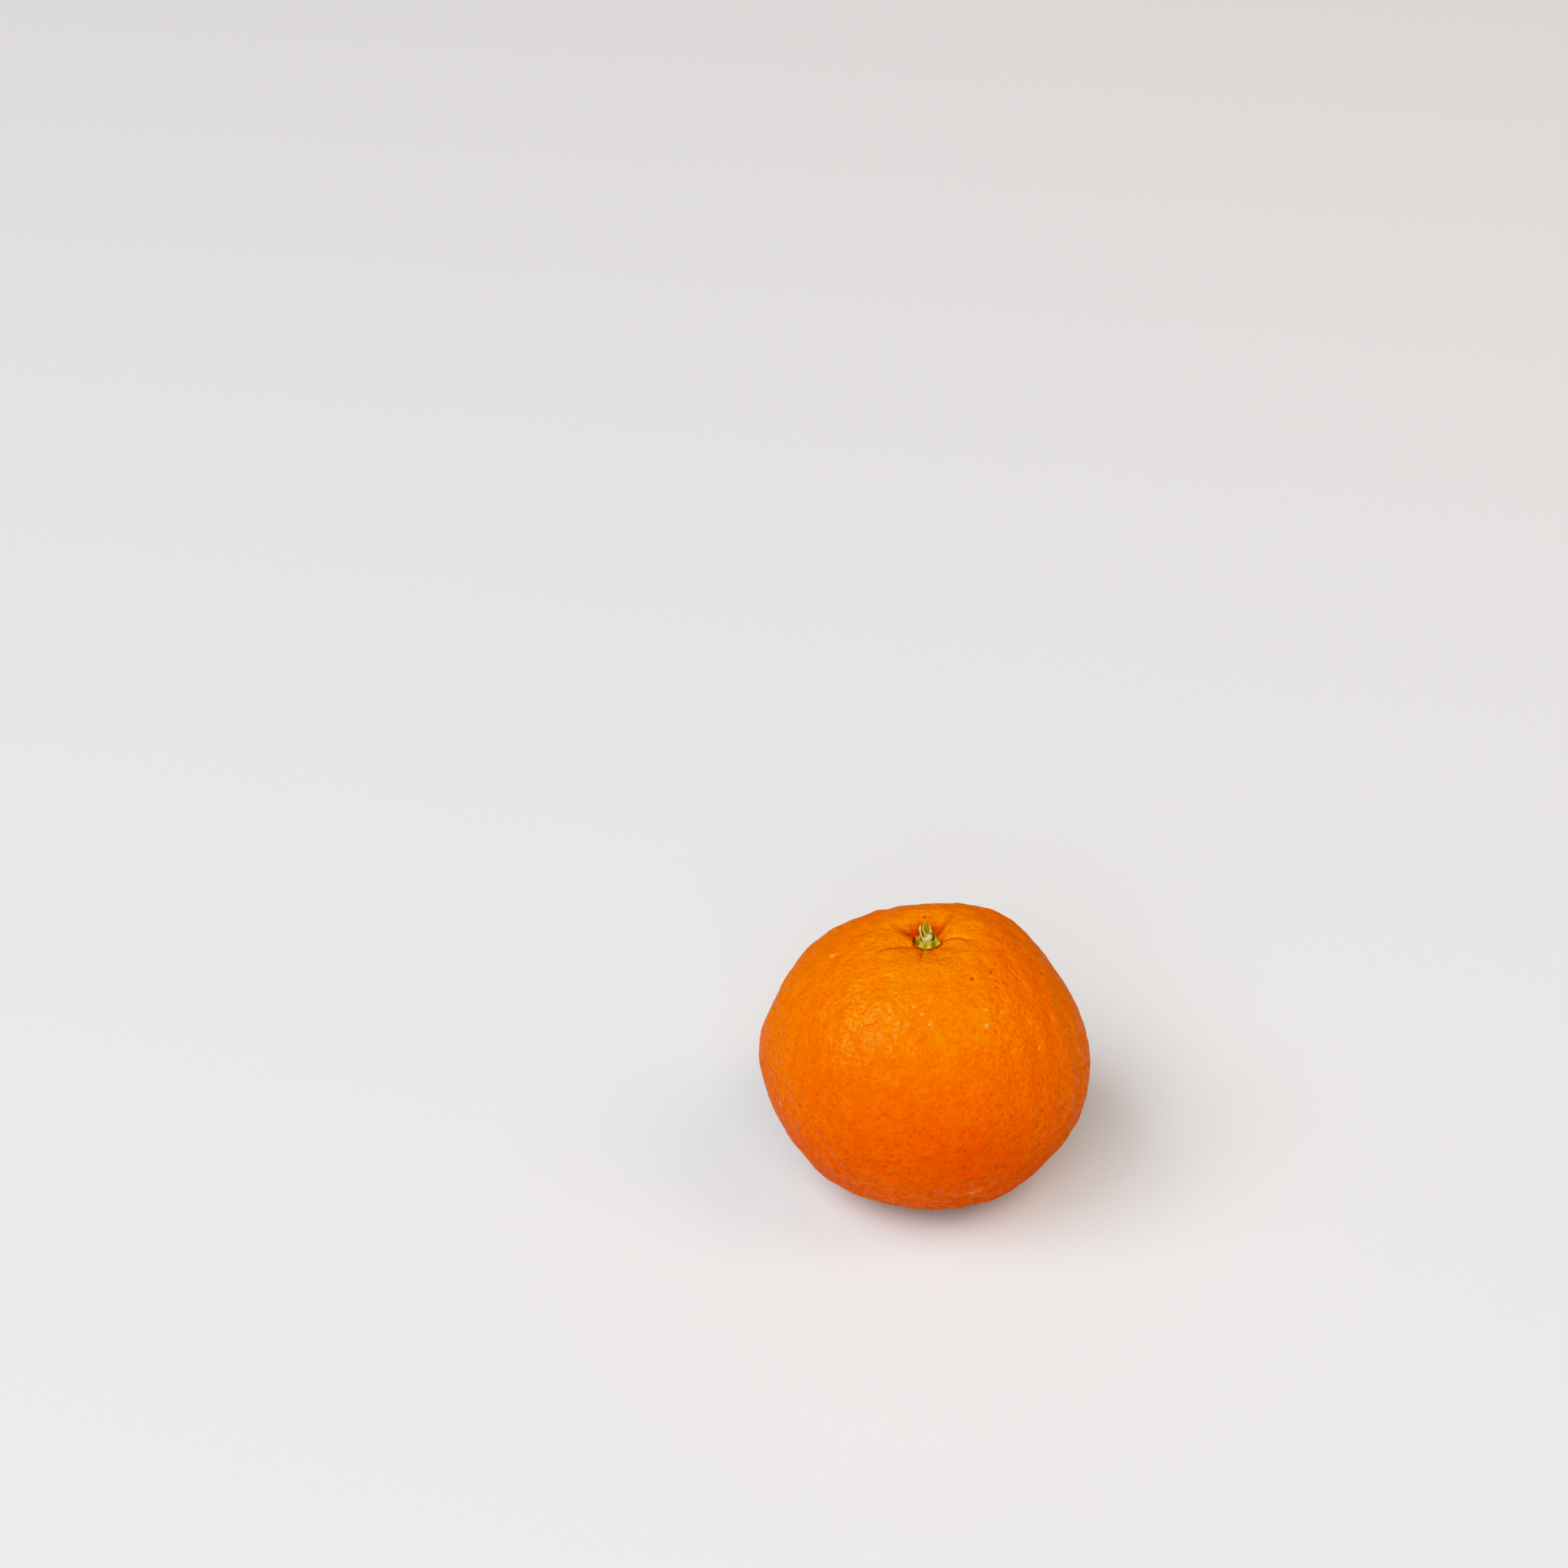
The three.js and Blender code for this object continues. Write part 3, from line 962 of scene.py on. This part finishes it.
def on_peel(peel, x, y):
    """The peel's height under a place near the stem."""
    well_above = 100 * MM
    hit, place, _, _ = peel.ray_cast((x, y, well_above), (0, 0, -1))
    if not hit:
        raise RuntimeError("the peel isn't under the calyx")
    return place.z


def along_lobe(turn, middle):
    """1 along the middle of one lobe, and falling to 0 at its sides, at a turn in degrees."""
    return max(0, 1 - abs((turn - middle + 180) % 360 - 180) / LOBE_HALF_WIDTH)


def lobe_share(turn):
    """0 between two lobes and 1 along the middle of one, at a turn in degrees."""
    return max(along_lobe(turn, middle) for middle, _ in LOBES)


def calyx_edge(settings, turn):
    """How far the calyx reaches at a turn in degrees."""
    lobe_edges = [
        settings.valley + (reach * MM - settings.valley) * along_lobe(turn, middle) ** 0.8
        for middle, reach in LOBES
    ]
    return max(settings.valley, *lobe_edges)


def calyx_point(settings, peel, turn, across, rise):
    """A point of the calyx, its valleys a little lower and its whole skin uneven."""
    if across < 0:
        reach = settings.crest + (settings.crest - settings.hole) * across
    else:
        reach = settings.crest + (calyx_edge(settings, turn) - settings.crest) * across
    angle = math.radians(turn)
    x, y = math.cos(angle), math.sin(angle)
    lobe = lobe_share(turn)
    rough = 0.1 * roughly(x * 2, y * 2, across, 1.3) + 0.05 * roughly(x * 3, y * 3, across * 2, 2.6, 1)
    drop = 0.4 * (1 - lobe) ** 2 * smooth(across / 0.5)
    rib = 0.1 * smooth((lobe - 0.3) / 0.7) * max(0, across)
    if rise > 0:
        rise = rise * (1 + rough) - drop + rib
    reach *= 1 + 0.025 * roughly(x * 4, y * 4, rise, 1.5, 2)
    x, y = settings.aside + reach * x, reach * y
    return (x, y, on_peel(peel, x, y) + rise * MM)


def calyx_mesh(settings, peel):
    skin = Skin(worn_and_highlight="FLOAT", shaded="FLOAT")
    rings = []
    for across, rise, worn_and_highlight, shaded in smooth_path(CALYX_SECTION, 3):
        ring = []
        for i in range(CALYX_STEPS):
            turn = 360 * i / CALYX_STEPS
            # Painted shade: darker in the valleys between lobes and along the back of the collar.
            valley = (1 - lobe_share(turn)) ** 3 * smooth(across / 0.4)
            behind = 0.8 * smooth(math.sin(math.radians(turn + 10)) * 1.6) * smooth(0.8 - across)
            marks = (worn_and_highlight, min(1, shaded + 0.9 * valley + behind))
            ring.append((calyx_point(settings, peel, turn, across, rise), marks))
        rings.append(ring)
    skin.shell(rings)
    return skin


def calyx_material(settings):
    material, tree, shader, here = new_material("Calyx")
    worn_and_highlight = attribute(tree, "worn_and_highlight", "Fac")
    shaded = attribute(tree, "shaded", "Fac")
    patches = smoothstep(noise(tree, here, 1100.0, 3.0), 0.35, 0.7)
    fine = noise(tree, here, 3600.0, 3.0)
    dry = smoothstep(noise(tree, here, 800.0, 4.0), 0.6, 0.72)
    tint = mix(tree, patches * 0.25, settings.green, settings.pale)
    # Partly painted highlight: the worn rims and crest turn pale.
    tint = mix(tree, worn_and_highlight * smoothstep(fine, 0.3, 0.6), tint, settings.pale)
    tint = mix(tree, shaded * 0.85, tint, settings.deep)
    tint = mix(tree, dry * 0.7, tint, settings.brown)
    feed(
        shader,
        Base_Color=tint,
        Roughness=fine * 0.3 + 0.4,
        Specular_IOR_Level=0.3,
        Subsurface_Weight=0.1,
        Subsurface_Radius=(1.0, 0.8, 0.2),
        Subsurface_Scale=0.4 * MM,
    )
    bump(tree, shader, noise(tree, here, 1500.0, 3.0) * 0.12 * MM + fine * 0.03 * MM)
    return material


# ---- Stem ----


def stem_point(foot, x, y, up, tint):
    """A point of the stem (mm from its foot) with its colour, as a shell takes it."""
    return (foot + Vector((x, y, up)) * MM, (tuple(tint),))


def broken_top(settings, x, y):
    """How high the break stands over the foot of the stem at a place on the core (mm)."""
    step = smooth((x + 0.5) / 0.4)
    rough = 0.2 * roughly(x, y, 0, 1.6, 3) + 0.1 * roughly(x, y, 0, 3.7, 4) + 0.06 * roughly(x, y, 0, 8, 5)
    return (settings.rise - settings.step * (1 - step)) / MM + rough - 0.12 * math.hypot(x, y) ** 2


def core_point(settings, foot, across, level, angle):
    """A point of the core, at shares of its radius and of its height at an angle round it."""
    radius = settings.radius / MM
    x, y = math.cos(angle), math.sin(angle)
    ribs = 0.035 * math.sin(11 * angle + 2 * roughly(x, y, level, 2))
    fibrous = ribs + 0.06 * roughly(x, y, level * 0.4, 2.2)
    reach = across * radius * (1 + (fibrous if across > 0.5 else 0))
    x, y = x * reach, y * reach
    up = -CORE_SUNK + (broken_top(settings, x, y) + CORE_SUNK) * level
    # Painted shade: the core's side darkens towards its foot, down in the hole.
    dark = max(0, min(1, 0.9 - up * 1.1)) if across > 0.9 else 0
    return stem_point(foot, x, y, up, mixed(settings.wood, settings.deep, dark))


def add_core(skin, settings, foot):
    """The broken core, fibrous round its side and higher on the right of its break."""
    rings = [
        [core_point(settings, foot, across, level, angle) for angle in angles_round(CORE_STEPS)]
        for across, level in CORE_SECTION
    ]
    bottom = stem_point(foot, 0, 0, -CORE_SUNK, settings.deep)
    middle = stem_point(foot, 0, 0, broken_top(settings, 0, 0), settings.wood)
    skin.shell(rings, (bottom, middle))


def add_strip(skin, settings, foot, tint, thickness, shaded_below, points, seed):
    """A strip of bark, ragged at its top and grooved along its length, pale on its torn edges, with painted
    shade low on its front.
    """
    path = smooth_path(points, 5)
    last = len(path) - 1
    face = getattr(settings, tint)
    rings = []
    for k, (x, y, up, width) in enumerate(path):
        ring = []
        wander = 0.05 * roughly(up, seed, 0, 1.1, seed)
        near_top = smooth(3 * k / last - 2)
        for angle in angles_round(STRIP_STEPS):
            cos, sin = math.cos(angle), math.sin(angle)
            groove = 1 + 0.16 * math.cos(5 * angle + seed) + 0.12 * roughly(cos, sin, up * 0.5, 2.0, seed)
            across = 0.5 * width * cos * groove
            back = 0.5 * thickness * sin * groove * min(1, 0.3 + width / 0.3)
            back += 0.5 * across * across / max(width, 0.1)
            torn_top = 0.5 * width * roughly(2 * cos, 2 * sin, 0, 1.0, seed) * near_top
            shade = mixed(face, settings.wood, 0.55 * abs(cos) ** 6)
            # Painted shade: the front darkens below its given height, down in the hole.
            front = smooth(0.6 - 0.8 * sin)
            shade = mixed(shade, settings.deep, 0.9 * front * smooth((shaded_below - up) / 0.9))
            ring.append(stem_point(foot, x + across + wander, y + back, up + torn_top, shade))
        rings.append(ring)
    x, y, up, _ = path[0]
    # Its foot, down in the hole, takes the painted shade's deep colour.
    low = stem_point(foot, x, y, up, settings.deep)
    x, y, up, _ = path[-1]
    tip = stem_point(foot, x, y, up + 0.06, settings.wood)
    skin.shell(rings, (low, tip))


def add_hollow_end(skin, settings, foot, x, y, up, radius):
    """A short hollow fibre that faces forwards and up, pale round a hole darkened with painted shade."""
    facing = Vector((0, -0.7, 0.72)).normalized()
    across = Vector((1, 0, 0))
    upward = facing.cross(across)
    middle = Vector((x, y, up))
    rings = []
    for reach, out_of_it, dark in HOLLOW_SECTION:
        ring = []
        for angle in angles_round(HOLLOW_STEPS):
            wobble = 1 + 0.14 * math.sin(2 * angle + x * 9) + 0.1 * math.sin(5 * angle + x * 5)
            way = across * math.cos(angle) + upward * math.sin(angle)
            place = middle + (way * reach * wobble + facing * out_of_it) * radius
            ring.append(stem_point(foot, *place, mixed(settings.wood, settings.deep, dark)))
        rings.append(ring)
    skin.shell(rings)


def add_fibres(skin, settings, foot):
    """Fine torn fibres that stand up out of the break."""
    draw = random.Random(settings.seed)
    for number in range(settings.fibres):
        angle, reach = draw.uniform(0, 2 * math.pi), 0.8 * math.sqrt(draw.random())
        x, y = reach * math.cos(angle), reach * math.sin(angle)
        low = broken_top(settings, x, y) - 0.2
        height = draw.uniform(0.35, 0.75)
        lean_x, lean_y = draw.uniform(-0.15, 0.15) + 0.2 * x, draw.uniform(-0.1, 0.1) + 0.2 * y
        width = draw.uniform(0.05, 0.1)
        points = [
            (x + lean_x * part**2, y + lean_y * part**2, low + height * part, width * (1 - 0.7 * part))
            for part in (0, 0.5, 1)
        ]
        add_strip(skin, settings, foot, "wood", width, 0, points, 20 + number)


def stem_mesh(settings, foot):
    skin = Skin(tint="FLOAT_COLOR")
    add_core(skin, settings, foot)
    for seed, strip in enumerate(STRIPS):
        add_strip(skin, settings, foot, *strip, seed)
    for end in HOLLOW_ENDS:
        add_hollow_end(skin, settings, foot, *end)
    add_fibres(skin, settings, foot)
    return skin


def stem_material(settings):
    material, tree, shader, here = new_material("Torn stem")
    tint = attribute(tree, "tint", "Color")
    x, y, z = split(here)
    grain = noise(tree, join(tree, x, y, z * 0.25), 5200.0, 3.0)
    blotches = noise(tree, here, 1600.0, 3.0)
    dark = smoothstep(grain, 0.5, 0.35)
    tint = mix(tree, dark * 0.35, tint, settings.deep)
    tint = mix(tree, smoothstep(blotches, 0.55, 0.7) * 0.3, tint, settings.deep)
    feed(shader, Base_Color=tint, Roughness=0.75, Specular_IOR_Level=0.2)
    bump(tree, shader, grain * 0.05 * MM + blotches * 0.06 * MM)
    return material


# ---- Studio ----


def floor_mesh(settings):
    mesh = bpy.data.meshes.new("floor")
    corners = [(x * FLOOR_REACH, y * FLOOR_REACH, 0) for x, y in ((-1, -1), (1, -1), (1, 1), (-1, 1))]
    mesh.from_pydata(corners, [], [(0, 1, 2, 3)])
    material, _, shader, _ = new_material("Pale floor")
    feed(shader, Base_Color=settings.floor, Roughness=0.6)
    mesh.materials.append(material)
    return mesh


def surroundings(settings):
    world = bpy.data.worlds.new("Studio")
    world.use_nodes = True
    feed(world.node_tree.nodes["Background"], Color=settings.world, Strength=settings.world_strength)
    return world


def softbox(name, toward_it, side, power, shines=True):
    """A square light that looks at the fruit from far off, with or without a highlight of its own."""
    data = bpy.data.lights.new(name, "AREA")
    data.shape = "SQUARE"
    data.size = side
    data.energy = power
    lamp = new_object(name, data)
    place = Vector(toward_it).normalized()
    lamp.location = place * LIGHT_DISTANCE
    lamp.rotation_euler = place.to_track_quat("Z", "Y").to_euler()
    lamp.visible_glossy = shines
    return data


def camera_on(settings, middle):
    """A camera that stands above the level in front of the fruit and looks a little past its middle."""
    camera = new_object("camera", bpy.data.cameras.new("camera"))
    camera.data.lens = settings.focal_length
    camera.data.clip_start = 10 * MM
    from_fruit = Vector((0, -math.cos(settings.rise), math.sin(settings.rise)))
    camera.location = middle + from_fruit * settings.distance
    camera.rotation_euler = (math.pi / 2 - settings.tilt, 0, settings.turn)
    return camera


def response(light):
    """How bright a light comes out: as it is while faint, and never over 1."""
    return light / (1 + light**TONE_SHOULDER) ** (1 / TONE_SHOULDER)


def tone(view):
    """A film-like response: deep blacks, and a soft shoulder that keeps bright orange from clipping."""
    view.view_transform = "Standard"
    view.use_curve_mapping = True
    mapping = view.curve_mapping
    mapping.clip_max_x = TONE_REACH
    mapping.black_level = TONE_BLACK
    all_colours = mapping.curves[3]
    all_colours.points[-1].location = (TONE_REACH, response(TONE_REACH))
    for step in range(1, TONE_PARTS):
        light = TONE_REACH * (step / TONE_PARTS) ** 2
        all_colours.points.new(light, response(light))
    mapping.update()


# ---- Finishing a piece ----


def new_object(name, data):
    made = bpy.data.objects.new(name, data)
    bpy.context.scene.collection.objects.link(made)
    return made


def bake_nodes(name, tree, values):
    """An object whose mesh is what a Geometry Nodes tree makes with the given input values."""
    piece = bpy.data.objects.new(name, bpy.data.meshes.new(name))
    bpy.context.scene.collection.objects.link(piece)
    modifier = piece.modifiers.new(tree.name, "NODES")
    modifier.node_group = tree
    for item in tree.interface.items_tree:
        if item.item_type == "SOCKET" and item.in_out == "INPUT" and item.name in values:
            modifier[item.identifier] = values[item.name]
    evaluated = piece.evaluated_get(bpy.context.evaluated_depsgraph_get())
    mesh = bpy.data.meshes.new_from_object(evaluated)
    piece.modifiers.clear()
    piece.data = mesh
    mesh.name = name
    if not mesh.polygons:
        raise RuntimeError(f"{name} came out empty")
    return piece


def dress(piece, node):
    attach(piece, "root")
    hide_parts(node)


# ---- Operators ----


class MANDARIN_OT_peel(bpy.types.Operator):
    """Makes the pitted peel, with its stem hollow and furrows"""

    bl_idname = "mandarin.peel"
    bl_label = "Peel"

    def execute(self, context):
        settings = context.scene.mandarin_peel
        tree = peel_tree()
        values = {name: getattr(settings, name.lower().replace(" ", "_")) for name in PEEL_NUMBERS}
        values["Middle Height"] = middle_height(settings)
        values["Seed"] = settings.seed
        values["Material"] = peel_material(settings, context.scene.mandarin_calyx.aside)
        dress(bake_nodes("peel", tree, values), "fruit")
        return {"FINISHED"}


class MANDARIN_OT_calyx(bpy.types.Operator):
    """Makes the five-lobed calyx, lying on the peel"""

    bl_idname = "mandarin.calyx"
    bl_label = "Calyx"

    def execute(self, context):
        settings = context.scene.mandarin_calyx
        skin = calyx_mesh(settings, context.scene.objects["peel"])
        dress(skin.piece("calyx_lobes", calyx_material(settings)), "calyx")
        return {"FINISHED"}


class MANDARIN_OT_stem(bpy.types.Operator):
    """Makes the broken stem, with the strips of bark torn up round it"""

    bl_idname = "mandarin.stem"
    bl_label = "Stem"

    def execute(self, context):
        settings = context.scene.mandarin_stem
        foot = Vector((context.scene.mandarin_calyx.aside, 0, STEM_FOOT))
        dress(stem_mesh(settings, foot).piece("torn_stem", stem_material(settings)), "stem_stub")
        return {"FINISHED"}


class MANDARIN_OT_studio(bpy.types.Operator):
    """Sets out the pale floor, the soft lights and the camera"""

    bl_idname = "mandarin.studio"
    bl_label = "Studio"

    def execute(self, context):
        settings = context.scene.mandarin_studio
        new_object("floor", floor_mesh(settings))
        context.scene.world = surroundings(settings)
        softbox("key", *KEY_LIGHT, settings.key_power)
        softbox("front", *FRONT_LIGHT, settings.front_power, shines=False)
        fill = softbox("fill", *FILL_LIGHT, settings.fill_power)
        fill.color = settings.fill_colour[:3]
        middle = Vector((0, 0, middle_height(context.scene.mandarin_peel)))
        context.scene.camera = camera_on(settings, middle)
        tone(context.scene.view_settings)
        return {"FINISHED"}


class MANDARIN_PT_tools(bpy.types.Panel):
    bl_label = "Mandarin"
    bl_space_type = "VIEW_3D"
    bl_region_type = "UI"
    bl_category = "Mandarin"

    def draw(self, context):
        for operator in OPERATORS:
            self.layout.operator(operator.bl_idname)


OPERATORS = (MANDARIN_OT_peel, MANDARIN_OT_calyx, MANDARIN_OT_stem, MANDARIN_OT_studio)
SETTINGS = {
    "mandarin_peel": MandarinPeelSettings,
    "mandarin_calyx": MandarinCalyxSettings,
    "mandarin_stem": MandarinStemSettings,
    "mandarin_studio": MandarinStudioSettings,
}
CLASSES = (*SETTINGS.values(), *OPERATORS, MANDARIN_PT_tools)


def register():
    for made in CLASSES:
        bpy.utils.register_class(made)
    for name, group in SETTINGS.items():
        setattr(bpy.types.Scene, name, PointerProperty(type=group))


def unregister():
    for name in SETTINGS:
        delattr(bpy.types.Scene, name)
    for made in reversed(CLASSES):
        bpy.utils.unregister_class(made)


def main():
    register()
    bpy.ops.mandarin.peel()
    bpy.ops.mandarin.calyx()
    bpy.ops.mandarin.stem()
    bpy.ops.mandarin.studio()


if __name__ == "__main__":
    main()
